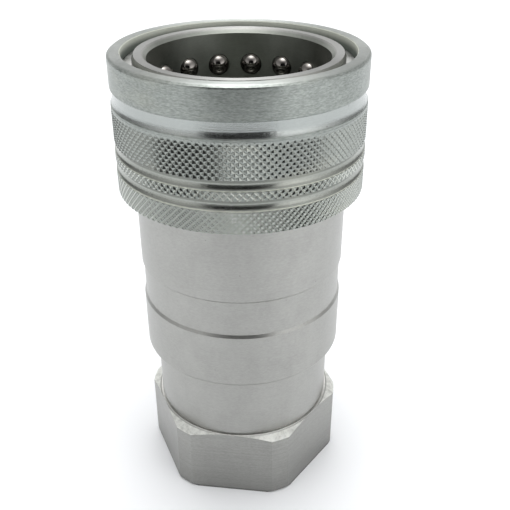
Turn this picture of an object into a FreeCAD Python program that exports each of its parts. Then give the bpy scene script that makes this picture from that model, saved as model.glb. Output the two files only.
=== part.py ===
import FreeCAD, Part
import Sketcher
import math
import os

V = FreeCAD.Vector
doc = FreeCAD.newDocument("quick_coupler")

# ---------------------------------------------------------------------------
# Driving dimensions, millimetres and degrees.
# Heights are measured up from the end face of the hexagon, radii from the axis.
# ---------------------------------------------------------------------------
DIMS = [
    # port end: hexagon, neck and screwed spigot
    ("hex_flats", 41.0), ("hex_turn_r", 22.55), ("hex_ledge_z", 17.1), ("hex_corner_z", 16.1),
    ("hex_foot_r", 22.1), ("hex_foot_z", 0.4), ("hex_turn_deg", 20.8), ("hex_cone_r", 20.4),
    ("neck_r", 20.04), ("neck_root_r", 19.88), ("neck_root_z", 17.4), ("joint_z", 33.15),
    ("port_r", 16.67), ("port_mouth_r", 17.6), ("port_mouth_z", 3.3), ("port_depth_z", 21.0),
    ("flow_r", 13.0), ("flow_cone_z", 22.6),
    ("spigot_thread_r", 18.55), ("spigot_relief_r", 17.7), ("spigot_relief_z", 34.4), ("spigot_thread_top_z", 41.2),
    ("spigot_pilot_r", 18.03), ("spigot_pilot_z", 41.7), ("spigot_end_z", 46.5), ("spigot_edge", 0.3),
    ("gland_low_z", 43.0), ("gland_high_z", 45.4), ("gland_r", 16.65),
    ("adapter_ring_r", 17.37), ("adapter_ring_wire", 0.7), ("adapter_ring_z", 44.2),
    # body: outside
    ("body_r", 22.3), ("body_edge", 0.16), ("body_edge_z", 0.36), ("mark_r", 21.92), ("mark_low_z", 45.5), ("mark_low_in_z", 46.14),
    ("mark_high_in_z", 54.02), ("mark_high_z", 54.46),
    ("collar_low_z", 73.0), ("collar_in_z", 73.6), ("collar_r", 23.03), ("collar_edge", 0.2), ("collar_top_z", 75.0),
    ("nose_r", 20.95), ("nose_edge_z", 98.1), ("nose_top_r", 20.6), ("nose_top_z", 98.85),
    ("ring_groove_low_z", 95.6), ("ring_groove_high_z", 97.1), ("ring_groove_r", 20.15),
    # body: inside
    ("mouth_r", 19.0), ("bore_r", 18.2), ("bore_top_z", 97.95), ("bore_low_z", 86.0),
    ("seal_bore_r", 16.0), ("seal_bore_top_z", 83.8), ("seal_groove_high_z", 81.5), ("seal_groove_low_z", 77.3),
    ("seal_groove_r", 18.17), ("bore_floor_z", 68.0), ("throat_r", 12.5), ("throat_low_z", 65.5),
    ("seat_r", 15.7), ("seat_low_z", 62.3), ("chamber_r", 16.6), ("guide_stop_z", 49.0),
    ("pilot_r", 18.1), ("pilot_low_z", 42.0), ("rear_thread_r", 18.6), ("rear_thread_top_z", 41.5),
    ("rear_lead_r", 19.2), ("rear_lead_z", 33.75),
    # locking balls and their holes
    ("ball_r", 2.38), ("ball_circle_r", 18.8), ("ball_z", 91.2), ("ball_count", 16), ("ball_phase", 13.53),
    ("ball_hole_r", 2.44), ("ball_lip_r", 2.36), ("ball_lip_depth_r", 18.28), ("ball_hole_in_r", 16.9), ("ball_hole_out_r", 22.5),
    # retaining ring
    ("ring_in_r", 20.25), ("ring_out_r", 22.85), ("ring_low_z", 95.7), ("ring_edge", 0.2), ("ring_gap", 3.2),
    # sleeve: outside
    ("sleeve_low_z", 71.5), ("sleeve_top_z", 99.5), ("sleeve_r", 25.7), ("rim_r", 25.1), ("rim_edge_r", 25.62), ("rim_edge_z", 99.1), ("rim_low_z", 98.84),
    ("band_low_z", 93.25), ("band_edge_r", 25.52), ("groove_a_top_z", 93.05), ("groove_a_r", 25.2), ("groove_a_low_z", 92.4),
    ("groove_a_bend", 2.43), ("groove_a_sweep", 25.0), ("groove_a_mid_r", 25.235), ("groove_a_mid_z", 91.2), ("groove_bend", 1.35), ("groove_low_r", 25.22), ("lip_r", 25.24),
    ("land_a_top_z", 89.9), ("knurl_a_top_z", 89.5), ("knurl_r", 25.4), ("knurl_a_low_z", 82.35),
    ("groove_b_top_z", 82.25), ("groove_b_low_z", 81.42), ("land_b_top_z", 80.39),
    ("knurl_b_top_z", 80.17), ("knurl_b_low_z", 78.4), ("groove_c_top_z", 78.3), ("groove_c_low_z", 77.47),
    ("land_c_top_z", 76.44), ("knurl_c_top_z", 76.2), ("sleeve_foot_z", 71.65), ("sleeve_foot_r", 25.15),
    # sleeve: inside
    ("sleeve_bore_r", 23.1), ("sleeve_bore_edge", 0.2), ("rib_low_z", 88.2), ("rib_r", 21.05), ("rib_edge", 0.2),
    ("cone_low_z", 90.236), ("cone_top_z", 96.178), ("rim_bore_edge", 0.15), ("rim_bore_edge_z", 99.3),
    # sleeve spring
    ("sleeve_wire", 1.8), ("sleeve_coil_r", 22.02), ("sleeve_spring_low_z", 75.06), ("sleeve_spring_len", 13.08), ("sleeve_turns", 3.6),
    # bore seal
    ("seal_ring_r", 16.84), ("seal_ring_wire", 1.31), ("seal_ring_z", 78.75),
    ("backup_in_r", 16.25), ("backup_out_r", 18.12), ("backup_low_z", 80.12), ("backup_high_z", 81.42),
    # poppet valve
    ("stem_r", 4.0), ("stem_low_z", 40.5), ("stem_edge", 0.6), ("head_r", 15.0), ("head_low_z", 59.0), ("pocket_r", 9.2), ("pocket_z", 60.0),
    ("head_edge_z", 62.75), ("face_r", 12.0), ("face_z", 65.75), ("tip_r", 4.5), ("tip_z", 76.0), ("tip_edge", 1.0), ("tip_root", 0.8),
    ("poppet_ring_r", 13.2), ("poppet_ring_wire", 0.85), ("poppet_ring_z", 63.513),
    ("ring_slot_top_r", 13.0819), ("ring_slot_top_z", 64.6681), ("ring_slot_in_r", 11.9413), ("ring_slot_in_z", 63.5271),
    ("ring_slot_out_r", 13.2141), ("ring_slot_out_z", 62.2543), ("ring_slot_low_r", 14.3547), ("ring_slot_low_z", 63.3953),
    ("valve_wire", 1.4), ("valve_coil_r", 6.6), ("valve_spring_low_z", 49.05), ("valve_spring_len", 10.9), ("valve_turns", 3.1),
    # stem guide
    ("guide_r", 18.0), ("guide_low_z", 46.5), ("guide_top_z", 48.98), ("guide_hub_r", 6.0), ("guide_hub_low_z", 42.5), ("guide_hole_r", 4.08),
    ("guide_port_r", 2.7), ("guide_port_circle", 9.95), ("guide_port_count", 6),
]
sheet = doc.addObject("Spreadsheet::Sheet", "Sheet")
for row, (alias, value) in enumerate(DIMS, start=1):
    sheet.set("A%d" % row, alias)
    sheet.set("B%d" % row, repr(value))
    sheet.setAlias("B%d" % row, alias)
doc.recompute()
D = dict(DIMS)


def value_of(expr):
    """Number that a dimension expression of the sheet stands for: sums and differences of names and numbers."""
    total, sign = 0.0, 1.0
    for word in expr.replace("+", " + ").replace("-", " - ").split():
        if word == "+":
            sign = 1.0
        elif word == "-":
            sign = -1.0
        else:
            total += sign * (D[word] if word in D else float(word))
            sign = 1.0
    return total


def bound(expr):
    """The same expression with every name taken from the sheet."""
    words = expr.replace("+", " + ").replace("-", " - ").split()
    return " ".join("Sheet." + w if w in D else w for w in words)


def plane(body, role):
    return [f for f in body.Origin.OriginFeatures if f.Role == role][0]


def new_body(label):
    body = doc.addObject("PartDesign::Body", label)
    body.Label = label
    return body


def new_sketch(body, name, role):
    sk = body.newObject("Sketcher::SketchObject", name)
    sk.AttachmentSupport = [(plane(body, role), "")]
    sk.MapMode = "FlatFace"
    return sk


def closed_profile(sk, points):
    """Closed outline through points given as pairs of dimension expressions, each vertex held to its dimensions.

    A third expression is the radius of an arc, hollow towards the outside, that leads to the next point.
    """
    xy = [V(value_of(p[0]), value_of(p[1]), 0) for p in points]
    n = len(xy)
    edges = []
    for i, p in enumerate(points):
        a, b = xy[i], xy[(i + 1) % n]
        if len(p) == 2:
            edges.append((sk.addGeometry(Part.LineSegment(a, b), False), 1, 2))
            continue
        rad, half = value_of(p[2]), (b - a).Length / 2.0
        side = V(-abs(b.y - a.y), (b.x - a.x) * (1 if b.y > a.y else -1), 0).normalize()
        mid = (a + b) * 0.5 + side * (rad - math.sqrt(rad * rad - half * half))
        g = sk.addGeometry(Part.ArcOfCircle(a, mid, b), False)
        turned_round = sk.getPoint(g, 1).distanceToPoint(a) > 1e-6
        edges.append((g, 2, 1) if turned_round else (g, 1, 2))
    for i in range(n):
        g, _, end = edges[i]
        h, start, _ = edges[(i + 1) % n]
        sk.addConstraint(Sketcher.Constraint("Coincident", g, end, h, start))
    for i, p in enumerate(points):
        g, start, _ = edges[i]
        for kind, axis, expr, val in (("DistanceX", -2, p[0], xy[i].x), ("DistanceY", -1, p[1], xy[i].y)):
            if abs(val) < 1e-9:
                sk.addConstraint(Sketcher.Constraint("PointOnObject", g, start, axis))
            else:
                c = sk.addConstraint(Sketcher.Constraint(kind, -1, 1, g, start, val))
                sk.setExpression("Constraints[%d]" % c, bound(expr))
        if len(p) == 3:
            c = sk.addConstraint(Sketcher.Constraint("Radius", g, value_of(p[2])))
            sk.setExpression("Constraints[%d]" % c, bound(p[2]))


def circle(sk, cx, cy, radius):
    """Circle held by dimension expressions."""
    g = sk.addGeometry(Part.Circle(V(value_of(cx), value_of(cy), 0), V(0, 0, 1), value_of(radius)), False)
    for kind, axis, expr in (("DistanceX", -2, cx), ("DistanceY", -1, cy)):
        if abs(value_of(expr)) < 1e-9:
            sk.addConstraint(Sketcher.Constraint("PointOnObject", g, 3, axis))
        else:
            c = sk.addConstraint(Sketcher.Constraint(kind, -1, 1, g, 3, value_of(expr)))
            sk.setExpression("Constraints[%d]" % c, bound(expr))
    c = sk.addConstraint(Sketcher.Constraint("Radius", g, value_of(radius)))
    sk.setExpression("Constraints[%d]" % c, bound(radius))
    return g


def turned(body, name, points):
    """Full turn of an outline in the XZ plane about the coupler's axis."""
    sk = new_sketch(body, name + "_outline", "XZ_Plane")
    closed_profile(sk, points)
    rev = body.newObject("PartDesign::Revolution", name + "_turn")
    rev.Profile = sk
    rev.ReferenceAxis = (sk, ["V_Axis"])
    rev.Angle = 360.0
    body.Tip = rev
    return rev


# ---------------------------------------------------------------------------
# Body: nose, spring shoulder, marking band, seal groove, valve seat, rear thread
# ---------------------------------------------------------------------------
coupler_body = new_body("coupler_body")
turned(coupler_body, "body", [
    ("body_r - body_edge", "joint_z"), ("body_r", "joint_z + body_edge_z"), ("body_r", "mark_low_z"), ("mark_r", "mark_low_in_z"),
    ("mark_r", "mark_high_in_z"), ("body_r", "mark_high_z"), ("body_r", "collar_low_z"), ("collar_r", "collar_in_z"),
    ("collar_r", "collar_top_z - collar_edge"), ("collar_r - collar_edge", "collar_top_z"), ("nose_r", "collar_top_z"),
    ("nose_r", "ring_groove_low_z"), ("ring_groove_r", "ring_groove_low_z"), ("ring_groove_r", "ring_groove_high_z"),
    ("nose_r", "ring_groove_high_z"), ("nose_r", "nose_edge_z"), ("nose_top_r", "nose_top_z"), ("mouth_r", "nose_top_z"),
    ("bore_r", "bore_top_z"), ("bore_r", "bore_low_z"), ("seal_bore_r", "seal_bore_top_z"), ("seal_bore_r", "seal_groove_high_z"),
    ("seal_groove_r", "seal_groove_high_z"), ("seal_groove_r", "seal_groove_low_z"), ("seal_bore_r", "seal_groove_low_z"),
    ("seal_bore_r", "bore_floor_z"), ("throat_r", "bore_floor_z"), ("throat_r", "throat_low_z"), ("seat_r", "seat_low_z"),
    ("chamber_r", "seat_low_z"), ("chamber_r", "guide_stop_z"), ("pilot_r", "guide_stop_z"), ("pilot_r", "pilot_low_z"),
    ("rear_thread_r", "rear_thread_top_z"), ("rear_thread_r", "rear_lead_z"), ("rear_lead_r", "joint_z"),
])
doc.recompute()
solid_volume = coupler_body.Shape.Volume

# one radial ball hole with a narrower lip at the bore, repeated round the nose
sk = new_sketch(coupler_body, "ball_hole_outline", "XZ_Plane")
closed_profile(sk, [
    ("ball_hole_in_r", "ball_z"), ("ball_hole_out_r", "ball_z"), ("ball_hole_out_r", "ball_z + ball_hole_r"),
    ("ball_lip_depth_r", "ball_z + ball_hole_r"), ("ball_lip_depth_r", "ball_z + ball_lip_r"), ("ball_hole_in_r", "ball_z + ball_lip_r"),
])
axis_line = sk.addGeometry(Part.LineSegment(V(D["ball_hole_in_r"], D["ball_z"], 0), V(D["ball_hole_out_r"], D["ball_z"], 0)), True)
sk.addConstraint(Sketcher.Constraint("Coincident", axis_line, 1, 0, 1))
sk.addConstraint(Sketcher.Constraint("Coincident", axis_line, 2, 0, 2))
hole = coupler_body.newObject("PartDesign::Groove", "ball_hole")
hole.Profile = sk
hole.ReferenceAxis = (sk, ["Axis0"])
hole.Angle = 360.0
coupler_body.Tip = hole
doc.recompute()
one_hole = solid_volume - coupler_body.Shape.Volume
ring_of_holes = coupler_body.newObject("PartDesign::PolarPattern", "ball_hole_ring")
ring_of_holes.Originals = [hole]
ring_of_holes.Axis = ([f for f in coupler_body.Origin.OriginFeatures if f.Role == "Z_Axis"][0], [""])
ring_of_holes.Angle = 360.0
ring_of_holes.setExpression("Occurrences", "Sheet.ball_count")
coupler_body.Tip = ring_of_holes
coupler_body.setExpression("Placement.Rotation.Angle", "Sheet.ball_phase * 1 deg")
doc.recompute()
all_holes = solid_volume - coupler_body.Shape.Volume
if one_hole <= 0 or abs(all_holes - D["ball_count"] * one_hole) > 0.02 * all_holes:
    raise RuntimeError("ball holes: one cuts %.3f mm3, all cut %.3f mm3" % (one_hole, all_holes))

# ---------------------------------------------------------------------------
# Port adapter: hexagon, neck, screwed spigot with its O-ring groove, threaded port
# ---------------------------------------------------------------------------
port_adapter = new_body("port_adapter")
turned(port_adapter, "adapter", [
    ("port_mouth_r", "0"), ("hex_foot_r", "0"), ("hex_turn_r", "hex_foot_z"), ("hex_turn_r", "hex_corner_z"),
    ("hex_cone_r", "hex_ledge_z"), ("neck_root_r", "hex_ledge_z"), ("neck_root_r", "neck_root_z"), ("neck_r", "neck_root_z"), ("neck_r", "joint_z"),
    ("spigot_relief_r", "joint_z"), ("spigot_relief_r", "spigot_relief_z"), ("spigot_thread_r", "spigot_relief_z + 0.85"),
    ("spigot_thread_r", "spigot_thread_top_z"), ("spigot_pilot_r", "spigot_pilot_z"), ("spigot_pilot_r", "gland_low_z"),
    ("gland_r", "gland_low_z"), ("gland_r", "gland_high_z"), ("spigot_pilot_r", "gland_high_z"),
    ("spigot_pilot_r", "spigot_end_z - spigot_edge"), ("spigot_pilot_r - spigot_edge", "spigot_end_z"), ("flow_r", "spigot_end_z"),
    ("flow_r", "flow_cone_z"), ("port_r", "port_depth_z"), ("port_r", "port_mouth_z"),
])
doc.recompute()
blank_volume = port_adapter.Shape.Volume
sk = new_sketch(port_adapter, "hexagon_outline", "XY_Plane")
half = D["hex_flats"] / 2.0
side = half / math.cos(math.radians(30.0))
corners = [V(half, side / 2, 0), V(0, side, 0), V(-half, side / 2, 0), V(-half, -side / 2, 0), V(0, -side, 0), V(half, -side / 2, 0)]
sk.addGeometry([Part.LineSegment(corners[i], corners[(i + 1) % 6]) for i in range(6)], False)
for i in range(6):
    sk.addConstraint(Sketcher.Constraint("Coincident", i, 2, (i + 1) % 6, 1))
for i in range(6):
    for kind, axis, val, expr in (("DistanceX", -2, corners[i].x, "Sheet.hex_flats / 2"),
                                  ("DistanceY", -1, corners[i].y, "Sheet.hex_flats / 2 / cos(30 deg)" + ("" if i in (1, 4) else " / 2"))):
        if abs(val) < 1e-9:
            sk.addConstraint(Sketcher.Constraint("PointOnObject", i, 1, axis))
        else:
            c = sk.addConstraint(Sketcher.Constraint(kind, -1, 1, i, 1, val))
            sk.setExpression("Constraints[%d]" % c, expr if val > 0 else "-1 * (" + expr + ")")
circle(sk, "0", "0", "hex_turn_r + 6")
flats = port_adapter.newObject("PartDesign::Pocket", "hexagon_flats")
flats.Profile = sk
flats.Reversed = True
flats.setExpression("Length", "Sheet.hex_ledge_z + 0.6")
port_adapter.Tip = flats
port_adapter.setExpression("Placement.Rotation.Angle", "Sheet.hex_turn_deg * 1 deg")
doc.recompute()
if blank_volume - port_adapter.Shape.Volume < 100.0:
    raise RuntimeError("the hexagon's flats cut nothing")

# ---------------------------------------------------------------------------
# Locking sleeve: smooth front band, three turned grooves, three knurled bands,
# and inside it the rib with the cone that holds and frees the balls
# ---------------------------------------------------------------------------
locking_sleeve = new_body("locking_sleeve")
turned(locking_sleeve, "sleeve", [
    ("sleeve_bore_r + sleeve_bore_edge", "sleeve_low_z"), ("sleeve_foot_r", "sleeve_low_z"), ("knurl_r", "sleeve_foot_z"),
    ("knurl_r", "knurl_c_top_z"), ("sleeve_r", "knurl_c_top_z"), ("sleeve_r", "land_c_top_z", "groove_bend"),
    ("groove_low_r", "groove_c_low_z"), ("lip_r", "groove_c_top_z"), ("lip_r", "knurl_b_low_z"), ("knurl_r", "knurl_b_low_z"), ("knurl_r", "knurl_b_top_z"), ("sleeve_r", "knurl_b_top_z"),
    ("sleeve_r", "land_b_top_z", "groove_bend"), ("groove_low_r", "groove_b_low_z"), ("lip_r", "groove_b_top_z"), ("lip_r", "knurl_a_low_z"), ("knurl_r", "knurl_a_low_z"),
    ("knurl_r", "knurl_a_top_z"), ("sleeve_r", "knurl_a_top_z"), ("sleeve_r", "land_a_top_z", "groove_a_bend"), ("groove_a_mid_r", "groove_a_mid_z", "groove_a_sweep"), ("groove_a_r", "groove_a_low_z"),
    ("groove_a_r", "groove_a_top_z"), ("band_edge_r", "groove_a_top_z"), ("sleeve_r", "band_low_z"), ("sleeve_r", "rim_low_z"), ("rim_edge_r", "rim_edge_z"),
    ("rim_r", "sleeve_top_z"), ("sleeve_bore_r + rim_bore_edge", "sleeve_top_z"), ("sleeve_bore_r", "rim_bore_edge_z"),
    ("sleeve_bore_r", "cone_top_z"), ("rib_r", "cone_low_z"), ("rib_r", "rib_low_z + rib_edge"), ("rib_r + rib_edge", "rib_low_z"),
    ("sleeve_bore_r", "rib_low_z"), ("sleeve_bore_r", "sleeve_low_z + sleeve_bore_edge"),
])

# ---------------------------------------------------------------------------
# Split ring in the nose groove, its gap at the back
# ---------------------------------------------------------------------------
retaining_ring = new_body("sleeve_retaining_ring")
turned(retaining_ring, "ring", [
    ("ring_in_r", "ring_low_z"), ("ring_out_r - ring_edge", "ring_low_z"), ("ring_out_r", "ring_low_z + ring_edge"),
    ("ring_out_r", "ring_groove_high_z - ring_edge"), ("ring_out_r - ring_edge", "ring_groove_high_z"), ("ring_in_r", "ring_groove_high_z"),
])
doc.recompute()
whole_ring = retaining_ring.Shape.Volume
sk = new_sketch(retaining_ring, "ring_gap_outline", "XY_Plane")
gap_half = D["ring_gap"] / 2.0
y_low, y_high = D["ring_in_r"] - 2.0, D["ring_out_r"] + 2.0
gap_corners = [V(gap_half, y_low, 0), V(gap_half, y_high, 0), V(-gap_half, y_high, 0), V(-gap_half, y_low, 0)]
sk.addGeometry([Part.LineSegment(gap_corners[i], gap_corners[(i + 1) % 4]) for i in range(4)], False)
for i in range(4):
    sk.addConstraint(Sketcher.Constraint("Coincident", i, 2, (i + 1) % 4, 1))
for i in range(4):
    c = sk.addConstraint(Sketcher.Constraint("DistanceX", -1, 1, i, 1, gap_corners[i].x))
    sk.setExpression("Constraints[%d]" % c, "Sheet.ring_gap / 2" if gap_corners[i].x > 0 else "-1 * Sheet.ring_gap / 2")
    c = sk.addConstraint(Sketcher.Constraint("DistanceY", -1, 1, i, 1, gap_corners[i].y))
    sk.setExpression("Constraints[%d]" % c, "Sheet.ring_in_r - 2" if i in (0, 3) else "Sheet.ring_out_r + 2")
gap = retaining_ring.newObject("PartDesign::Pocket", "ring_gap_cut")
gap.Profile = sk
gap.Reversed = True
gap.setExpression("Length", "Sheet.ring_groove_high_z + 1")
retaining_ring.Tip = gap
doc.recompute()
if whole_ring - retaining_ring.Shape.Volume < 5.0:
    raise RuntimeError("the ring's gap cuts nothing")

# ---------------------------------------------------------------------------
# Locking balls
# ---------------------------------------------------------------------------
balls = []
for k in range(int(D["ball_count"])):
    ball = doc.addObject("Part::Sphere", "locking_ball_%02d" % (k + 1))
    ball.Label = "locking_ball_%02d" % (k + 1)
    ball.setExpression("Radius", "Sheet.ball_r")
    turn = "(Sheet.ball_phase + %d * 360 / Sheet.ball_count) * 1 deg" % k
    ball.setExpression("Placement.Base.x", "Sheet.ball_circle_r * cos(%s)" % turn)
    ball.setExpression("Placement.Base.y", "Sheet.ball_circle_r * sin(%s)" % turn)
    ball.setExpression("Placement.Base.z", "Sheet.ball_z")
    balls.append(ball)


# ---------------------------------------------------------------------------
# Round-section rings
# ---------------------------------------------------------------------------
def o_ring(label, radius, wire, height):
    ring = doc.addObject("Part::Torus", label)
    ring.Label = label
    ring.setExpression("Radius1", "Sheet." + radius)
    ring.setExpression("Radius2", "Sheet." + wire)
    ring.setExpression("Placement.Base.z", "Sheet." + height)
    return ring


bore_o_ring = o_ring("bore_o_ring", "seal_ring_r", "seal_ring_wire", "seal_ring_z")
adapter_o_ring = o_ring("adapter_o_ring", "adapter_ring_r", "adapter_ring_wire", "adapter_ring_z")
poppet_seal = o_ring("poppet_seal", "poppet_ring_r", "poppet_ring_wire", "poppet_ring_z")

backup_ring = new_body("backup_ring")
turned(backup_ring, "backup", [
    ("backup_in_r", "backup_low_z"), ("backup_out_r", "backup_low_z"), ("backup_out_r", "backup_high_z"), ("backup_in_r", "backup_high_z"),
])

# ---------------------------------------------------------------------------
# Poppet: stem, spring pocket, sealing cone with its ring groove, push tip
# ---------------------------------------------------------------------------
valve_poppet = new_body("valve_poppet")
turned(valve_poppet, "poppet", [
    ("0", "stem_low_z"), ("stem_r - stem_edge", "stem_low_z"), ("stem_r", "stem_low_z + stem_edge"), ("stem_r", "pocket_z"),
    ("pocket_r", "pocket_z"), ("pocket_r", "head_low_z"), ("head_r", "head_low_z"), ("head_r", "head_edge_z"),
    ("ring_slot_low_r", "ring_slot_low_z"), ("ring_slot_out_r", "ring_slot_out_z"), ("ring_slot_in_r", "ring_slot_in_z"),
    ("ring_slot_top_r", "ring_slot_top_z"), ("face_r", "face_z"),
    ("tip_r + tip_root", "face_z"), ("tip_r", "face_z + tip_root"), ("tip_r", "tip_z - tip_edge"), ("tip_r - tip_edge", "tip_z"), ("0", "tip_z"),
])

# ---------------------------------------------------------------------------
# Stem guide: drilled disc with a long hub
# ---------------------------------------------------------------------------
valve_guide = new_body("valve_guide")
turned(valve_guide, "guide", [
    ("guide_hole_r", "guide_hub_low_z"), ("guide_hub_r", "guide_hub_low_z"), ("guide_hub_r", "guide_low_z"), ("guide_r", "guide_low_z"),
    ("guide_r", "guide_top_z"), ("guide_hole_r", "guide_top_z"),
])
doc.recompute()
plain_guide = valve_guide.Shape.Volume
sk = new_sketch(valve_guide, "guide_port_outline", "XY_Plane")
circle(sk, "guide_port_circle", "0", "guide_port_r")
port_hole = valve_guide.newObject("PartDesign::Pocket", "guide_port")
port_hole.Profile = sk
port_hole.Reversed = True
port_hole.setExpression("Length", "Sheet.guide_top_z + 1")
valve_guide.Tip = port_hole
doc.recompute()
one_port = plain_guide - valve_guide.Shape.Volume
ports = valve_guide.newObject("PartDesign::PolarPattern", "guide_port_ring")
ports.Originals = [port_hole]
ports.Axis = ([f for f in valve_guide.Origin.OriginFeatures if f.Role == "Z_Axis"][0], [""])
ports.Angle = 360.0
ports.setExpression("Occurrences", "Sheet.guide_port_count")
valve_guide.Tip = ports
doc.recompute()
if one_port <= 0 or abs(plain_guide - valve_guide.Shape.Volume - D["guide_port_count"] * one_port) > 0.5:
    raise RuntimeError("the guide's flow holes are not all there")


# ---------------------------------------------------------------------------
# Compression springs with ground ends: a round wire along a helix, trimmed flat
# ---------------------------------------------------------------------------
def spring(label, coil_r, wire, low_z, length, turns):
    coil = new_body(label + "_coil")
    sk = new_sketch(coil, label + "_wire", "XZ_Plane")
    g = sk.addGeometry(Part.Circle(V(D[coil_r], D[low_z], 0), V(0, 0, 1), D[wire] / 2.0), False)
    for kind, val, expr in (("DistanceX", D[coil_r], "Sheet." + coil_r), ("DistanceY", D[low_z], "Sheet." + low_z)):
        c = sk.addConstraint(Sketcher.Constraint(kind, -1, 1, g, 3, val))
        sk.setExpression("Constraints[%d]" % c, expr)
    c = sk.addConstraint(Sketcher.Constraint("Radius", g, D[wire] / 2.0))
    sk.setExpression("Constraints[%d]" % c, "Sheet.%s / 2" % wire)
    helix = coil.newObject("PartDesign::AdditiveHelix", label + "_helix")
    helix.Profile = sk
    helix.ReferenceAxis = (sk, ["V_Axis"])
    helix.Mode = "height-turns-angle"
    helix.setExpression("Height", "Sheet." + length)
    helix.setExpression("Turns", "Sheet." + turns)
    coil.Tip = helix
    trim = doc.addObject("Part::Cylinder", label + "_ends")
    trim.setExpression("Radius", "Sheet.%s + 5" % coil_r)
    trim.setExpression("Height", "Sheet." + length)
    trim.setExpression("Placement.Base.z", "Sheet." + low_z)
    ground = doc.addObject("Part::Common", label)
    ground.Label = label
    ground.Base = coil
    ground.Tool = trim
    return ground


sleeve_spring = spring("sleeve_spring", "sleeve_coil_r", "sleeve_wire", "sleeve_spring_low_z", "sleeve_spring_len", "sleeve_turns")
valve_spring = spring("valve_spring", "valve_coil_r", "valve_wire", "valve_spring_low_z", "valve_spring_len", "valve_turns")
doc.recompute()

# ---------------------------------------------------------------------------
# Checks, then one file for each piece
# ---------------------------------------------------------------------------
pieces = [coupler_body, port_adapter, locking_sleeve, retaining_ring, sleeve_spring, bore_o_ring, backup_ring,
          adapter_o_ring, valve_poppet, poppet_seal, valve_spring, valve_guide] + balls
bad = [o.Name for o in doc.Objects if "Invalid" in o.State or "Error" in o.State]
if bad:
    raise RuntimeError("objects in error: " + ", ".join(bad))
for p in pieces:
    if p.Shape.isNull() or not p.Shape.isValid() or len(p.Shape.Solids) != 1:
        raise RuntimeError("%s: shape is null, not valid or not one solid" % p.Label)
for label, coil_r, wire, length, turns in (("sleeve_spring", "sleeve_coil_r", "sleeve_wire", "sleeve_spring_len", "sleeve_turns"),
                                           ("valve_spring", "valve_coil_r", "valve_wire", "valve_spring_len", "valve_turns")):
    run = math.hypot(2 * math.pi * D[coil_r] * D[turns], D[length])
    full = math.pi * (D[wire] / 2.0) ** 2 * run
    have = doc.getObject(label).Shape.Volume
    print("%s: wire run %.1f mm, full wire %.1f mm3, ground %.1f mm3" % (label, run, full, have))
    if not 0.6 * full < have < 1.01 * full:
        raise RuntimeError(label + ": volume is not that of its wire")

os.makedirs("parts", exist_ok=True)
for p in pieces:
    p.Shape.exportStep("parts/%s.step" % p.Label)
box = pieces[0].Shape.optimalBoundingBox()
for p in pieces[1:]:
    box.add(p.Shape.optimalBoundingBox())
print("%d pieces, %.2f x %.2f x %.2f mm" % (len(pieces), box.XLength, box.YLength, box.ZLength))
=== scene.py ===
import math
import bpy
import numpy as np
from mathutils import Matrix, Vector


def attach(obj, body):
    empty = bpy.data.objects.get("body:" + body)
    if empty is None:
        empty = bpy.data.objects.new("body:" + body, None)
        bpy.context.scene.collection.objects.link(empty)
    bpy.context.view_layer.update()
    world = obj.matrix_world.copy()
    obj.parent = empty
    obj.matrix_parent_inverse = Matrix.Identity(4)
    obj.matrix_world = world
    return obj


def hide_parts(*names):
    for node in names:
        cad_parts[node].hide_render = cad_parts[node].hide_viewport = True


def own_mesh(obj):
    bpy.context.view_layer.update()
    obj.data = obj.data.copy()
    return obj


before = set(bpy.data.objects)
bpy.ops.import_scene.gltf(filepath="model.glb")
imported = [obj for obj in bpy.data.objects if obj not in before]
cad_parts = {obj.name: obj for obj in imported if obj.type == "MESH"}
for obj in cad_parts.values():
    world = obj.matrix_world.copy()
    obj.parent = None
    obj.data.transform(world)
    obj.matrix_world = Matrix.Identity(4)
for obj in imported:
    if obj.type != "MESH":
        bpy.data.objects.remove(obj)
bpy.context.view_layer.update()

scene = bpy.context.scene
MM = 0.001
TAU = 2.0 * math.pi


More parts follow.
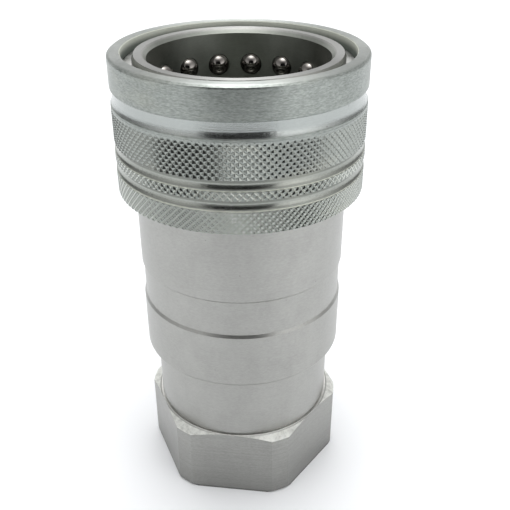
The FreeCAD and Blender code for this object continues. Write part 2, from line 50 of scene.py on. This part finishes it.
# ---------------------------------------------------------------------------
# Node helpers
# ---------------------------------------------------------------------------
class Tree:
    """Small wrapper that adds nodes to a tree and links or sets their inputs."""

    def __init__(self, owner):
        owner.use_nodes = True
        self.t = owner.node_tree
        self.t.nodes.clear()

    def node(self, kind, **props):
        n = self.t.nodes.new(kind)
        for k, v in props.items():
            setattr(n, k, v)
        return n

    def put(self, socket, value):
        if isinstance(value, bpy.types.NodeSocket):
            self.t.links.new(value, socket)
        else:
            socket.default_value = value

    def math(self, op, a, b=None, c=None, clamp=False):
        n = self.node("ShaderNodeMath", operation=op, use_clamp=clamp)
        self.put(n.inputs[0], a)
        if b is not None:
            self.put(n.inputs[1], b)
        if c is not None:
            self.put(n.inputs[2], c)
        return n.outputs[0]

    def span(self, x, a, b, lo=0.0, hi=1.0, smooth=True):
        n = self.node("ShaderNodeMapRange", interpolation_type="SMOOTHSTEP" if smooth else "LINEAR", clamp=True)
        for s, v in zip(n.inputs[:5], (x, a, b, lo, hi)):
            self.put(s, v)
        return n.outputs[0]

    def zone(self, x, lo, hi, soft):
        """1 between lo and hi, falling to 0 over soft on each side."""
        up = self.span(x, lo - soft, lo + soft)
        down = self.span(x, hi - soft, hi + soft, 1.0, 0.0)
        return self.math("MULTIPLY", up, down)

    def scaled(self, vec, sx, sy, sz, loc=(0.0, 0.0, 0.0), rot=(0.0, 0.0, 0.0)):
        n = self.node("ShaderNodeMapping")
        self.put(n.inputs["Vector"], vec)
        n.inputs["Scale"].default_value = (sx, sy, sz)
        n.inputs["Location"].default_value = loc
        n.inputs["Rotation"].default_value = rot
        return n.outputs[0]

    def noise(self, vec, scale=1.0, detail=2.0, rough=0.5, lac=2.0):
        n = self.node("ShaderNodeTexNoise", noise_dimensions="3D")
        self.put(n.inputs["Vector"], vec)
        n.inputs["Scale"].default_value = scale
        n.inputs["Detail"].default_value = detail
        n.inputs["Roughness"].default_value = rough
        n.inputs["Lacunarity"].default_value = lac
        return n.outputs[0]

    def voronoi(self, vec, scale=1.0, feature="F1"):
        n = self.node("ShaderNodeTexVoronoi", feature=feature)
        self.put(n.inputs["Vector"], vec)
        n.inputs["Scale"].default_value = scale
        return n.outputs["Distance"]

    def ramp(self, fac, stops):
        n = self.node("ShaderNodeValToRGB")
        self.put(n.inputs[0], fac)
        e = n.color_ramp.elements
        while len(e) < len(stops):
            e.new(0.5)
        for el, (pos, col) in zip(e, stops):
            el.position = pos
            el.color = (*col, 1.0) if len(col) == 3 else col
        return n.outputs[0]

    def mix(self, fac, a, b, mode="MIX"):
        n = self.node("ShaderNodeMix", data_type="RGBA", blend_type=mode)
        self.put(n.inputs[0], fac)
        for s, v in ((n.inputs[6], a), (n.inputs[7], b)):
            if isinstance(v, tuple) and len(v) == 3:
                v = (*v, 1.0)
            self.put(s, v)
        return n.outputs[2]

    def bump(self, height, strength, distance, normal=None):
        n = self.node("ShaderNodeBump")
        self.put(n.inputs["Height"], height)
        n.inputs["Strength"].default_value = strength
        n.inputs["Distance"].default_value = distance
        if normal is not None:
            self.put(n.inputs["Normal"], normal)
        return n.outputs[0]

    def surface(self, color, rough, normal=None, metallic=1.0, aniso=0.0, specular=0.5, coat=0.0):
        p = self.node("ShaderNodeBsdfPrincipled")
        if isinstance(color, tuple) and len(color) == 3:
            color = (*color, 1.0)
        self.put(p.inputs["Base Color"], color)
        self.put(p.inputs["Roughness"], rough)
        self.put(p.inputs["Metallic"], metallic)
        p.inputs["Specular IOR Level"].default_value = specular
        if coat:
            p.inputs["Coat Weight"].default_value = coat
        if normal is not None:
            self.put(p.inputs["Normal"], normal)
        if aniso:
            self.put(p.inputs["Anisotropic"], aniso)
            p.inputs["Anisotropic Rotation"].default_value = 0.25
            tan = self.node("ShaderNodeTangent", direction_type="RADIAL", axis="Z")
            self.put(p.inputs["Tangent"], tan.outputs[0])
        out = self.node("ShaderNodeOutputMaterial")
        self.t.links.new(p.outputs[0], out.inputs[0])
        return p

    def place(self):
        """Object coordinates, height in millimetres and radius in millimetres."""
        co = self.node("ShaderNodeTexCoord").outputs["Object"]
        sep = self.node("ShaderNodeSeparateXYZ")
        self.put(sep.inputs[0], co)
        z = self.math("MULTIPLY", sep.outputs[2], 1000.0)
        flat = self.node("ShaderNodeVectorMath", operation="MULTIPLY")
        self.put(flat.inputs[0], co)
        flat.inputs[1].default_value = (1000.0, 1000.0, 0.0)
        ln = self.node("ShaderNodeVectorMath", operation="LENGTH")
        self.put(ln.inputs[0], flat.outputs[0])
        return co, z, ln.outputs["Value"], sep.outputs


def facing_up(t, lo=0.6, hi=0.9):
    """1 on faces that look up, 0 on upright ones."""
    sep = t.node("ShaderNodeSeparateXYZ")
    t.put(sep.inputs[0], t.node("ShaderNodeNewGeometry").outputs["Normal"])
    return t.span(sep.outputs[2], lo, hi)


def material(name):
    m = bpy.data.materials.new(name)
    return m, Tree(m)


# ---------------------------------------------------------------------------
# Materials
# ---------------------------------------------------------------------------
def turned_grain(t, co, fine=9000.0, around=60.0):
    """Fine lines that run round the axis, as a lathe tool or a brush leaves them."""
    a = t.noise(t.scaled(co, around, around, fine), detail=3.0, rough=0.6)
    b = t.noise(t.scaled(co, around * 2.6, around * 2.6, fine * 0.31, loc=(3.1, 1.7, 0.4)), detail=2.0)
    return t.math("ADD", t.math("MULTIPLY", a, 0.6), t.math("MULTIPLY", b, 0.4))


def make_body_steel():
    m, t = material("steel_body")
    co, z, r, xyz = t.place()
    grain = turned_grain(t, co, 7000.0, 70.0)
    cloud = t.noise(t.scaled(co, 160.0, 160.0, 110.0), detail=4.0, rough=0.62)
    blotch = t.noise(t.scaled(co, 1500.0, 1500.0, 4800.0, loc=(1.3, 2.2, 0.7)), detail=2.0, rough=0.6)
    tone = t.math("ADD", t.math("MULTIPLY", grain, 0.2), t.math("ADD", t.math("MULTIPLY", cloud, 0.45), t.math("MULTIPLY", blotch, 0.35)))
    col = t.ramp(tone, [(0.36, (0.324, 0.324, 0.309)), (0.5, (0.372, 0.372, 0.356)), (0.64, (0.42, 0.42, 0.403))])
    # the nose's face: faced on the lathe
    face = t.math("MULTIPLY", facing_up(t), t.span(z, 98.6, 98.75))
    col = t.mix(face, col, t.ramp(tone, [(0.3, (0.36, 0.363, 0.352)), (0.7, (0.445, 0.448, 0.435))]))
    # inside of the mouth: darker and a little greener
    inside = t.math("MULTIPLY", t.span(r, 18.6, 18.9, 1.0, 0.0), t.span(z, 60.0, 62.0))
    inner = t.ramp(tone, [(0.3, (0.23, 0.242, 0.218)), (0.7, (0.335, 0.35, 0.318))])
    col = t.mix(inside, col, inner)
    # specks of grime
    speck = t.voronoi(t.scaled(co, 330.0, 330.0, 330.0), 1.0)
    dot = t.span(speck, 0.035, 0.06, 0.55, 0.0)
    col = t.mix(dot, col, (0.2, 0.2, 0.19))
    rough = t.math("ADD", t.span(cloud, 0.3, 0.7, 0.3, 0.38), t.math("MULTIPLY", grain, 0.06))
    rough = t.math("ADD", rough, t.math("MULTIPLY", face, 0.16))
    nor = t.bump(grain, 0.1, 0.00004, t.bump(blotch, 0.08, 0.00005))
    t.surface(col, rough, nor, aniso=t.span(face, 0.0, 1.0, 0.45, 0.95))
    return m


def make_port_steel():
    m, t = material("steel_port_end")
    co, z, r, xyz = t.place()
    grain = turned_grain(t, co, 6000.0, 60.0)
    cloud = t.noise(t.scaled(co, 170.0, 170.0, 120.0), detail=4.0, rough=0.62)
    fine = t.noise(t.scaled(co, 1500.0, 1500.0, 4800.0, loc=(4.3, 0.2, 2.7)), detail=2.0, rough=0.6)
    tone = t.math("ADD", t.math("MULTIPLY", grain, 0.2), t.math("ADD", t.math("MULTIPLY", cloud, 0.45), t.math("MULTIPLY", fine, 0.35)))
    neck = t.ramp(tone, [(0.36, (0.329, 0.329, 0.314)), (0.5, (0.375, 0.375, 0.359)), (0.64, (0.421, 0.421, 0.404))])
    # hexagon: drawn bar with long lines along the flats
    lines = t.noise(t.scaled(co, 35.0, 35.0, 2600.0), detail=3.0, rough=0.7)
    hexa = t.ramp(t.math("ADD", t.math("MULTIPLY", lines, 0.3), t.math("ADD", t.math("MULTIPLY", cloud, 0.3), t.math("MULTIPLY", fine, 0.4))),
                  [(0.36, (0.286, 0.286, 0.272)), (0.5, (0.333, 0.333, 0.318)), (0.64, (0.38, 0.38, 0.364))])
    # painted shade on the hexagon: darker towards the bottom, darkest on the foot edge
    hex_foot_painted_shade = t.math("MAXIMUM", t.span(z, 0.0, 13.0, 0.22, 0.0, smooth=False), t.span(z, 0.25, 0.6, 0.7, 0.0))
    hexa = t.mix(hex_foot_painted_shade, hexa, (0.08, 0.08, 0.076))
    on_hex = t.span(z, 17.0, 17.15, 1.0, 0.0)
    col = t.mix(on_hex, neck, hexa)
    # turned corner facets on top of the hexagon: coarse, with a painted highlight that colours them light
    up = facing_up(t, 0.5, 0.8)
    facet = t.math("MULTIPLY", up, t.math("MULTIPLY", t.zone(z, 15.0, 17.3, 0.1), t.span(r, 20.6, 20.85)))
    coarse = t.noise(t.scaled(co, 700.0, 700.0, 700.0), detail=5.0, rough=0.72)
    col = t.mix(facet, col, t.ramp(coarse, [(0.34, (0.58, 0.587, 0.558)), (0.47, (0.71, 0.718, 0.686)), (0.6, (0.82, 0.828, 0.795))]))
    # relief between the hexagon and the neck: painted light, a lighter colour that brightens the shade in the groove
    relief_painted_light = t.math("MULTIPLY", up, t.math("MULTIPLY", t.span(z, 16.9, 17.05), t.span(r, 20.42, 20.56, 1.0, 0.0)))
    relief_painted_light = t.math("MAXIMUM", relief_painted_light, t.zone(z, 17.1, 17.40, 0.03))
    col = t.mix(relief_painted_light, col, t.ramp(coarse, [(0.35, (0.52, 0.52, 0.5)), (0.65, (0.66, 0.66, 0.635))]))
    rough = t.math("ADD", t.span(cloud, 0.3, 0.7, 0.3, 0.38), t.math("MULTIPLY", grain, 0.06))
    rough = t.math("ADD", rough, t.math("MULTIPLY", facet, 0.24))
    height = t.math("ADD", t.math("MULTIPLY", grain, 0.25), t.math("ADD", t.math("MULTIPLY", fine, 0.4), t.math("MULTIPLY", t.math("MULTIPLY", lines, on_hex), 0.4)))
    height = t.math("ADD", height, t.math("MULTIPLY", t.math("MULTIPLY", coarse, facet), 1.2))
    nor = t.bump(height, 0.3, 0.00005)
    t.surface(col, rough, nor, aniso=0.4)
    return m


def make_sleeve_zinc(name="zinc_sleeve", knurled=False):
    m, t = material(name)
    co, z, r, xyz = t.place()
    grain = turned_grain(t, co, 9500.0, 110.0)
    cloud = t.noise(t.scaled(co, 190.0, 190.0, 150.0), detail=4.0, rough=0.65)
    blotch = t.noise(t.scaled(co, 1250.0, 1250.0, 5000.0, loc=(0.3, 4.2, 1.7)), detail=3.0, rough=0.66)
    tone = t.math("ADD", t.math("MULTIPLY", grain, 0.28), t.math("ADD", t.math("MULTIPLY", cloud, 0.2), t.math("MULTIPLY", blotch, 0.52)))
    col = t.ramp(tone, [(0.38, (0.21, 0.23, 0.213)), (0.5, (0.305, 0.328, 0.309)), (0.62, (0.41, 0.435, 0.414))] if not knurled else
                 [(0.3, (0.262, 0.281, 0.264)), (0.5, (0.309, 0.33, 0.312)), (0.7, (0.36, 0.381, 0.363))])
    if knurled:
        # rolling leaves the flanks burnished, a little yellow in the roots
        root = t.span(r, 25.47, 25.62, 0.35, 0.0)
        col = t.mix(root, col, (0.41, 0.415, 0.375))
        # the two light bands keep the turned skin on their flats
        skin = t.math("MULTIPLY", t.span(r, 25.75, 25.785), t.span(z, 80.5, 81.5, 1.0, 0.0))
        col = t.mix(skin, t.mix(t.span(z, 80.5, 81.5, 0.75, 0.0), col, (0.56, 0.58, 0.54)), t.ramp(tone, [(0.38, (0.18, 0.197, 0.181)), (0.62, (0.258, 0.278, 0.26))]))
    else:
        # groove floors, brighter
        below_rim = t.span(z, 97.0, 97.2, 1.0, 0.0)
        floors = t.math("MULTIPLY", t.span(r, 25.5, 25.62, 1.0, 0.0), below_rim)
        outer = t.span(r, 24.3, 24.4)
        hollow = t.math("MULTIPLY", floors, outer)
        upper = t.math("MULTIPLY", hollow, t.span(z, 89.6, 89.9))
        lower = t.math("ADD", t.zone(z, 80.41, 82.35, 0.03), t.zone(z, 76.46, 78.4, 0.03))
        lower = t.math("MULTIPLY", lower, outer)
        col = t.mix(lower, col, t.ramp(tone, [(0.3, (0.27, 0.282, 0.258)), (0.7, (0.36, 0.374, 0.344))]))
        # painted shade: a thin dark line in the corner under each knurl
        under_knurl_painted_shade = t.math("ADD", t.zone(z, 81.68, 82.45, 0.14), t.zone(z, 77.73, 78.5, 0.14))
        col = t.mix(t.math("MULTIPLY", t.math("MULTIPLY", under_knurl_painted_shade, outer), 0.7), col, (0.13, 0.137, 0.124))
        # polished lands beside the grooves, a little yellow
        lands = t.math("ADD", t.zone(z, 80.17, 80.38, 0.03), t.zone(z, 76.2, 76.43, 0.03))
        lands = t.math("MULTIPLY", lands, t.span(r, 25.5, 25.6))
        col = t.mix(lands, col, t.ramp(tone, [(0.36, (0.36, 0.37, 0.315)), (0.64, (0.6, 0.61, 0.53))]))
        col = t.mix(upper, col, t.ramp(tone, [(0.3, (0.355, 0.377, 0.366)), (0.7, (0.43, 0.454, 0.442))]))
        # top face of the rim, faced bright
        top = t.math("MULTIPLY", facing_up(t), t.span(z, 99.3, 99.45))
        flat_top = t.math("MULTIPLY", top, facing_up(t, 0.86, 0.97))
        col = t.mix(top, col, t.ramp(tone, [(0.3, (0.41, 0.43, 0.413)), (0.7, (0.51, 0.533, 0.514))]))
        # inside of the sleeve: coarse; painted light under the rim and painted shade further down
        inside = t.span(r, 23.15, 23.3, 1.0, 0.0)
        col = t.mix(inside, col, t.mix(t.span(z, 97.6, 99.2), t.ramp(tone, [(0.3, (0.15, 0.172, 0.15)), (0.7, (0.21, 0.238, 0.212))]),
                                       t.ramp(tone, [(0.3, (0.62, 0.645, 0.575)), (0.7, (0.76, 0.785, 0.705))])))
    # faint yellow of the passivation, in patches
    tint = t.noise(t.scaled(co, 55.0, 55.0, 150.0, loc=(2.0, 0.5, 3.0)), detail=3.0)
    yel = t.span(tint, 0.56, 0.74, 0.0, 0.16)
    col = t.mix(yel, col, (0.6, 0.585, 0.485))
    speck = t.voronoi(t.scaled(co, 260.0, 260.0, 260.0), 1.0)
    dot = t.span(speck, 0.03, 0.06, 0.6, 0.0)
    col = t.mix(dot, col, (0.15, 0.15, 0.14))
    rough = t.math("ADD", t.span(cloud, 0.3, 0.7, 0.32, 0.42), t.math("MULTIPLY", grain, 0.08))
    if knurled:
        rough = t.math("MULTIPLY", rough, 0.6)
    else:
        rough = t.math("MULTIPLY", rough, t.span(hollow, 0.0, 1.0, 1.0, 0.6))
        rough = t.math("ADD", rough, t.math("ADD", t.math("MULTIPLY", inside, 0.3), t.math("MULTIPLY", flat_top, 0.14)))
    nor = t.bump(grain, 0.08, 0.00004) if knurled else t.bump(grain, 0.35, 0.00005, t.bump(blotch, 0.2, 0.00006))
    t.surface(col, rough, nor, metallic=1.0 if knurled else t.span(inside, 0.0, 1.0, 1.0, 0.35), aniso=0.0 if knurled else t.math("ADD", t.span(inside, 0.0, 1.0, 0.5, 0.0), t.math("MULTIPLY", flat_top, 0.45)))
    return m


def make_ball_steel():
    m, t = material("ball_chrome")
    co, z, r, xyz = t.place()
    cloud = t.noise(t.scaled(co, 420.0, 420.0, 420.0), detail=4.0, rough=0.6)
    # painted shade: a colour far darker and browner than bare bearing steel
    col = t.ramp(cloud, [(0.3, (0.20, 0.186, 0.174)), (0.7, (0.28, 0.263, 0.248))])
    fine = t.noise(t.scaled(co, 3500.0, 3500.0, 3500.0), detail=2.0)
    rough = t.span(fine, 0.3, 0.7, 0.06, 0.13)
    t.surface(col, rough, t.bump(fine, 0.05, 0.00001))
    return m


def make_spring_steel():
    m, t = material("spring_steel")
    co, z, r, xyz = t.place()
    grain = turned_grain(t, co, 5000.0, 80.0)
    cloud = t.noise(t.scaled(co, 300.0, 300.0, 300.0), detail=3.0)
    col = t.ramp(t.math("ADD", t.math("MULTIPLY", grain, 0.5), t.math("MULTIPLY", cloud, 0.5)),
                 [(0.3, (0.42, 0.42, 0.41)), (0.7, (0.58, 0.58, 0.57))])
    rough = t.span(cloud, 0.3, 0.7, 0.26, 0.36)
    t.surface(col, rough, t.bump(grain, 0.2, 0.00003))
    return m


def make_rubber():
    m, t = material("seal_nitrile")
    co, z, r, xyz = t.place()
    fine = t.noise(t.scaled(co, 2200.0, 2200.0, 2200.0), detail=3.0)
    cloud = t.noise(t.scaled(co, 240.0, 240.0, 240.0), detail=3.0)
    col = t.ramp(cloud, [(0.3, (0.012, 0.012, 0.012)), (0.7, (0.026, 0.026, 0.025))])
    t.surface(col, t.span(fine, 0.3, 0.7, 0.42, 0.6), t.bump(fine, 0.15, 0.00002), metallic=0.0)
    return m


def make_ptfe():
    m, t = material("backup_ptfe")
    co, z, r, xyz = t.place()
    cloud = t.noise(t.scaled(co, 300.0, 300.0, 300.0), detail=3.0)
    grain = turned_grain(t, co, 6000.0, 90.0)
    col = t.ramp(cloud, [(0.3, (0.72, 0.72, 0.69)), (0.7, (0.82, 0.82, 0.8))])
    t.surface(col, t.span(cloud, 0.3, 0.7, 0.45, 0.58), t.bump(grain, 0.2, 0.00003), metallic=0.0)
    return m


body_steel = make_body_steel()
port_steel = make_port_steel()
sleeve_zinc = make_sleeve_zinc()
knurl_zinc = make_sleeve_zinc("zinc_knurl", knurled=True)
ball_chrome = make_ball_steel()
wire_steel = make_spring_steel()
nitrile = make_rubber()
ptfe = make_ptfe()

FINISH = {
    "coupler_body": body_steel, "port_adapter": port_steel, "locking_sleeve": sleeve_zinc,
    "sleeve_retaining_ring": wire_steel, "sleeve_spring": wire_steel, "valve_spring": wire_steel,
    "bore_o_ring": nitrile, "adapter_o_ring": nitrile, "poppet_seal": nitrile, "backup_ring": ptfe,
    "valve_poppet": body_steel, "valve_guide": body_steel,
}
for name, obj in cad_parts.items():
    mat = ball_chrome if name.startswith("locking_ball") else FINISH[name]
    obj.data.materials.clear()
    obj.data.materials.append(mat)


# ---------------------------------------------------------------------------
# Mesh helpers
# ---------------------------------------------------------------------------
def mesh_piece(name, verts, faces, mat, body, smooth=True):
    me = bpy.data.meshes.new(name)
    me.from_pydata([tuple(v) for v in verts], [], faces)
    me.validate()
    me.update()
    me.polygons.foreach_set("use_smooth", [smooth] * len(me.polygons))
    me.materials.append(mat)
    ob = bpy.data.objects.new(name, me)
    scene.collection.objects.link(ob)
    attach(ob, body)
    return ob


# ---------------------------------------------------------------------------
# Knurled bands of the sleeve: crossed rolled grooves at 45 degrees
# ---------------------------------------------------------------------------
KNURL_COUNT = 116        # diamonds round the sleeve
KNURL_MEAN_R = 25.62
ROOT_R, CREST_R = 25.47, 25.79


def tri(x):
    return 1.0 - np.abs(2.0 * (x - np.floor(x)) - 1.0)


def knurl_single(u, v):
    """Fully rolled: one pointed diamond beside the other, one hand cut a little deeper."""
    return np.minimum(tri(u), tri(v) + 0.12)


def knurl_flat(u, v):
    """Lightly rolled: narrow grooves that leave flat diamonds."""
    return 1.0 - 0.62 * (1.0 - np.minimum(np.minimum(tri(u), tri(v)), 0.42) / 0.42)


def knurl_double(u, v):
    """Rolled twice, one hand deeper than the other, with shallow grooves half way between the main ones."""
    main = 1.0 - np.maximum(0.66 * (1.0 - np.minimum(tri(v), 0.375) / 0.375), 0.42 * (1.0 - np.minimum(tri(u), 0.25) / 0.25))
    half = 1.0 - np.maximum(0.1 * (1.0 - np.minimum(tri(v + 0.5), 0.2) / 0.2), 0.24 * (1.0 - np.minimum(tri(u + 0.5), 0.2) / 0.2))
    return np.minimum(main, half)


def knurl_band(name, z_low, z_high, profile, steps, shift=0.0, run_out=0.0):
    pitch = TAU * KNURL_MEAN_R / KNURL_COUNT
    rows = max(2, int(round((z_high - z_low) / (pitch / (2 * steps)))))
    rows += rows % 2
    cols = KNURL_COUNT * steps
    verts, faces = [], []
    m = np.arange(cols)
    for k in range(rows + 1):
        s = (m + 0.5 * (k % 2)) / steps
        q = k / (2.0 * steps) + shift
        h = profile(s + q, s - q)
        if run_out:                         # the roll lifts off towards the top
            lift = min(1.0, (1.0 - k / rows) * (z_high - z_low) / run_out)
            h = 0.76 + (h - 0.76) * lift ** 0.7
        rad = ROOT_R + (CREST_R - ROOT_R) * h
        ang = TAU * s / KNURL_COUNT
        z = z_low + (z_high - z_low) * k / rows
        verts.extend(zip(rad * np.cos(ang) * MM, rad * np.sin(ang) * MM, np.full(cols, z * MM)))
    for k in range(rows):
        a, b = k * cols, (k + 1) * cols
        for i in range(cols):
            j = (i + 1) % cols
            if k % 2 == 0:
                faces.append((a + i, a + j, b + i))
                faces.append((a + j, b + j, b + i))
            else:
                faces.append((a + i, b + j, b + i))
                faces.append((a + i, a + j, b + j))
    # closed inwards, inside the sleeve's own metal
    inner = len(verts)
    for z in (z_low, z_high):
        ang = TAU * m / cols
        verts.extend(zip(25.2 * np.cos(ang) * MM, 25.2 * np.sin(ang) * MM, np.full(cols, z * MM)))
    top = rows * cols
    for i in range(cols):
        j = (i + 1) % cols
        faces.append((i, inner + i, inner + j, j))
        faces.append((top + i, top + j, inner + cols + j, inner + cols + i))
        faces.append((inner + i, inner + cols + i, inner + cols + j, inner + j))
    return mesh_piece(name, verts, faces, knurl_zinc, "sleeve", smooth=False)


knurl_band("knurl_upper", 82.37, 89.49, knurl_single, 8, run_out=0.9)
knurl_band("knurl_middle", 78.42, 80.16, knurl_flat, 8, shift=0.25)
knurl_band("knurl_lower", 71.66, 76.19, knurl_double, 8, shift=0.125)


# ---------------------------------------------------------------------------
# Springs with closed, ground ends
# ---------------------------------------------------------------------------
def coil(name, radius, wire, z_low, length, turns, node, body):
    steps, ring = int(turns * 56), 12
    half = wire / 2.0
    dead = 0.8                              # flat turns at each end
    verts, faces = [], []
    for i in range(steps + 1):
        w = i / steps * turns
        live = min(max((w - dead) / (turns - 2 * dead), 0.0), 1.0)
        z = z_low + half + wire * 0.0 + (length - wire) * live
        a = TAU * w
        for k in range(ring):
            b = TAU * k / ring
            rr = radius + half * math.cos(b)
            zz = min(max(z + half * math.sin(b), z_low + 0.02), z_low + length - 0.02)
            verts.append((rr * math.cos(a) * MM, rr * math.sin(a) * MM, zz * MM))
    for i in range(steps):
        for k in range(ring):
            l = (k + 1) % ring
            faces.append((i * ring + k, (i + 1) * ring + k, (i + 1) * ring + l, i * ring + l))
    faces.append(tuple(range(ring)))
    faces.append(tuple(steps * ring + k for k in reversed(range(ring))))
    ob = mesh_piece(name, verts, faces, wire_steel, body)
    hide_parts(node)
    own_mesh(ob)
    return ob


coil("sleeve_return_coil", 22.02, 1.8, 75.06, 13.08, 3.6, "sleeve_spring", "sleeve_spring")
coil("valve_return_coil", 6.6, 1.4, 49.05, 10.9, 3.1, "valve_spring", "body")


# ---------------------------------------------------------------------------
# Thread of the port: one continuous ridge inside the hexagon
# ---------------------------------------------------------------------------
def port_thread():
    pitch, z0, z1 = 2.117, 3.6, 20.2
    turns = (z1 - z0) / pitch
    steps = int(turns * 72)
    root, crest = 16.71, 15.62
    verts, faces = [], []
    for i in range(steps + 1):
        w = i / steps * turns
        a = TAU * w
        z = z0 + pitch * w
        fade = min(1.0, w / 0.35, (turns - w) / 0.35)
        top = root - (root - crest) * max(fade, 0.04)
        for rr, dz in ((root, -0.86), (top, -0.13), (top, 0.13), (root, 0.86)):
            verts.append((rr * math.cos(a) * MM, rr * math.sin(a) * MM, (z + dz) * MM))
    for i in range(steps):
        p, q = 4 * i, 4 * (i + 1)
        for k in range(4):
            l = (k + 1) % 4
            faces.append((p + k, p + l, q + l, q + k))
    faces.append((3, 2, 1, 0))
    e = 4 * steps
    faces.append((e, e + 1, e + 2, e + 3))
    return mesh_piece("port_thread_ridge", verts, faces, port_steel, "body", smooth=False)


port_thread()


# ---------------------------------------------------------------------------
# Floor, cards, light
# ---------------------------------------------------------------------------
def floor():
    m, t = material("floor_paper")
    co, z, r, xyz = t.place()
    cloud = t.noise(t.scaled(co, 14.0, 14.0, 14.0), detail=3.0)
    col = t.ramp(cloud, [(0.3, (0.925, 0.937, 0.955)), (0.7, (0.94, 0.952, 0.97))])
    t.surface(col, 0.8, metallic=0.0, specular=0.1)
    me = bpy.data.meshes.new("studio_floor")
    s = 3.0
    me.from_pydata([(-s, -s, 0.0), (s, -s, 0.0), (s, s, 0.0), (-s, s, 0.0)], [], [(0, 1, 2, 3)])
    me.materials.append(m)
    ob = bpy.data.objects.new("studio_floor", me)
    scene.collection.objects.link(ob)
    ob.location.z = -0.00002
    return ob


def dark_card():
    """Black card behind the camera's place, which the hollow grooves mirror."""
    m, t = material("card_black")
    co, z, r, xyz = t.place()
    cloud = t.noise(t.scaled(co, 30.0, 30.0, 30.0), detail=2.0)
    t.surface(t.ramp(cloud, [(0.3, (0.008, 0.008, 0.008)), (0.7, (0.014, 0.014, 0.014))]), 0.9, metallic=0.0, specular=0.1)
    # distance, height, left and right edge
    rows = [(-0.17, 0.06, -0.108, 0.088), (-0.17, 0.262, -0.108, 0.088)]
    verts, faces = [], []
    for y, z, left, right in rows:
        verts += [(left, y, z), (right, y, z)]
    for i in range(len(rows) - 1):
        faces.append((2 * i, 2 * i + 1, 2 * i + 3, 2 * i + 2))
    me = bpy.data.meshes.new("studio_flag")
    me.from_pydata(verts, [], faces)
    me.materials.append(m)
    ob = bpy.data.objects.new("studio_flag", me)
    scene.collection.objects.link(ob)
    ob.visible_camera = False
    return ob


floor()
dark_card()

world = bpy.data.worlds.new("studio")
scene.world = world
wt = Tree(world)
look = wt.node("ShaderNodeTexCoord").outputs["Generated"]

# wide soft sources: direction, tightness and power; the camera's side is dim
SOFT_LIGHTS = [
    ((0.0, 0.0, 1.0), 14.0, 5.2),          # overhead
    ((-0.05, 0.0, 1.0), 300.0, 8.0),       # its bulb
    ((0.0, 0.707, 0.707), 6.0, 1.7),       # high behind
    ((0.0, 0.995, 0.1), 8.0, 0.6),         # white backdrop behind
    ((-0.55, 0.82, 0.14), 24.0, 0.35),     # low behind, left
    ((0.55, 0.82, 0.14), 24.0, 0.35),      # low behind, right
    ((0.696, -0.696, 0.174), 6.0, 1.65),   # right front
    ((-0.696, -0.696, 0.174), 6.0, 0.85),  # left front
    ((0.985, 0.0, 0.174), 6.0, 0.38),      # right
    ((-0.985, 0.0, 0.174), 6.0, 0.3),      # left
    ((0.707, 0.0, 0.707), 6.0, 0.38),      # high right
    ((-0.707, 0.0, 0.707), 6.0, 0.3),      # high left
]


def soft_light(axis, tight, power):
    size = math.sqrt(sum(a * a for a in axis))
    dot = wt.node("ShaderNodeVectorMath", operation="DOT_PRODUCT")
    wt.put(dot.inputs[0], look)
    dot.inputs[1].default_value = tuple(a / size for a in axis)
    return wt.math("MULTIPLY", wt.math("POWER", wt.math("MAXIMUM", dot.outputs["Value"], 0.0), tight), power)


glow = soft_light(*SOFT_LIGHTS[0])
for light in SOFT_LIGHTS[1:]:
    glow = wt.math("ADD", glow, soft_light(*light))
glow = wt.math("ADD", glow, 0.01)
bg = wt.node("ShaderNodeBackground")
bg.inputs["Color"].default_value = (1.0, 1.0, 1.0, 1.0)
wt.put(bg.inputs["Strength"], glow)
white = wt.node("ShaderNodeBackground")
white.inputs["Color"].default_value = (1.0, 1.0, 1.0, 1.0)
white.inputs["Strength"].default_value = 1.0
seen = wt.node("ShaderNodeMixShader")
wt.put(seen.inputs[0], wt.node("ShaderNodeLightPath").outputs["Is Camera Ray"])
wt.t.links.new(bg.outputs[0], seen.inputs[1])
wt.t.links.new(white.outputs[0], seen.inputs[2])
wo = wt.node("ShaderNodeOutputWorld")
wt.t.links.new(seen.outputs[0], wo.inputs[0])

scene.view_settings.view_transform = "Standard"
scene.view_settings.look = "None"
scene.view_settings.exposure = 0.0
scene.view_settings.gamma = 1.0


# ---------------------------------------------------------------------------
# Camera at the photograph's place
# ---------------------------------------------------------------------------
pitch, yaw, roll = math.radians(29.87), math.radians(1.971), math.radians(0.175)
fw = Vector((math.sin(yaw) * math.cos(pitch), math.cos(yaw) * math.cos(pitch), -math.sin(pitch)))
rt = Vector((math.cos(yaw), -math.sin(yaw), 0.0))
dn = fw.cross(rt)
c, s = math.cos(roll), math.sin(roll)
rt, dn = c * rt + s * dn, -s * rt + c * dn
cam_data = bpy.data.cameras.new("camera")
cam_data.sensor_fit = "HORIZONTAL"
cam_data.sensor_width = 36.0
cam_data.lens = 51.56
cam_data.clip_start = 0.005
cam = bpy.data.objects.new("camera", cam_data)
scene.collection.objects.link(cam)
cam.matrix_world = Matrix(((rt.x, -dn.x, -fw.x, -0.00196), (rt.y, -dn.y, -fw.y, -0.1438), (rt.z, -dn.z, -fw.z, 0.1352), (0.0, 0.0, 0.0, 1.0)))
scene.camera = cam
